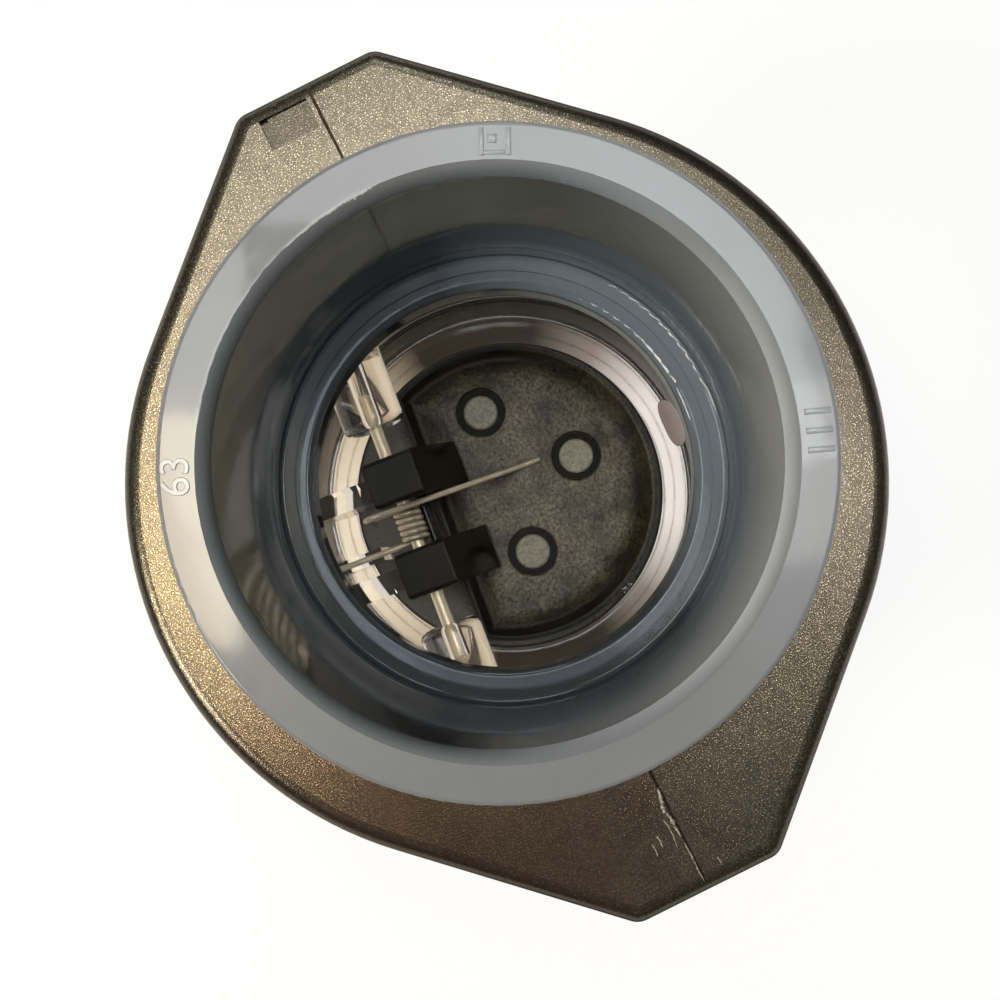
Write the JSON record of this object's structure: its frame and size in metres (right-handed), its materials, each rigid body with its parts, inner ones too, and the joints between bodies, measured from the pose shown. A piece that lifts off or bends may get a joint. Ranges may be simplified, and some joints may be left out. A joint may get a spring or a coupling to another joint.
{
  "type": "non-return valve",
  "caption": "Clear swing check valve with plain pipe sockets, a sprung hinged flap inside and a pointed two-part clamp.",
  "frame": {"origin": "centre of the inlet socket's rim, which the valve stands on", "axes": "+Z along the pipe axis in the direction of flow, X through the two lugs of the clamp, the flap's hinge on the +Y side"},
  "size_m": [0.1322, 0.1122, 0.148],
  "materials": {
    "clear_pvc": "clear, glossy",
    "clamp_plastic": "glass-filled, fine grain",
    "black_plastic": "moulded, satin",
    "grey_plastic": "moulded, satin",
    "seal_rubber": "matt",
    "steel": "drawn bar",
    "spring_wire": "drawn wire"
  },
  "bodies": {
    "housing": {"outlet_body": "clear_pvc", "inlet_body": "clear_pvc", "body_o_ring": "seal_rubber", "clamp_half_hinge_side": "clamp_plastic", "clamp_half_far_side": "clamp_plastic", "clamp_bolts": "steel", "clamp_washers": "steel", "clamp_nuts": "steel", "seat_ring": "black_plastic", "seat_o_ring": "seal_rubber", "hinge_pin": "steel", "pin_plug": "clear_pvc", "torsion_spring": "spring_wire"},
    "flap": {"flap_plate": "black_plastic", "flap_seal": "seal_rubber", "seal_backing_plate": "grey_plastic", "stud_lock_rings": "black_plastic"}
  },
  "joints": [
    {"name": "flap_swing", "type": "hinge", "parent": "housing", "child": "flap", "pos_m": [0.00188, 0.0179, 0.068], "axis": [-0.9945, 0.1045, 0], "range_deg": [0, 75], "stiffness_Nm_per_rad": 0.05, "springref_deg": -57.3, "deforming": ["torsion_spring"]}
  ]
}
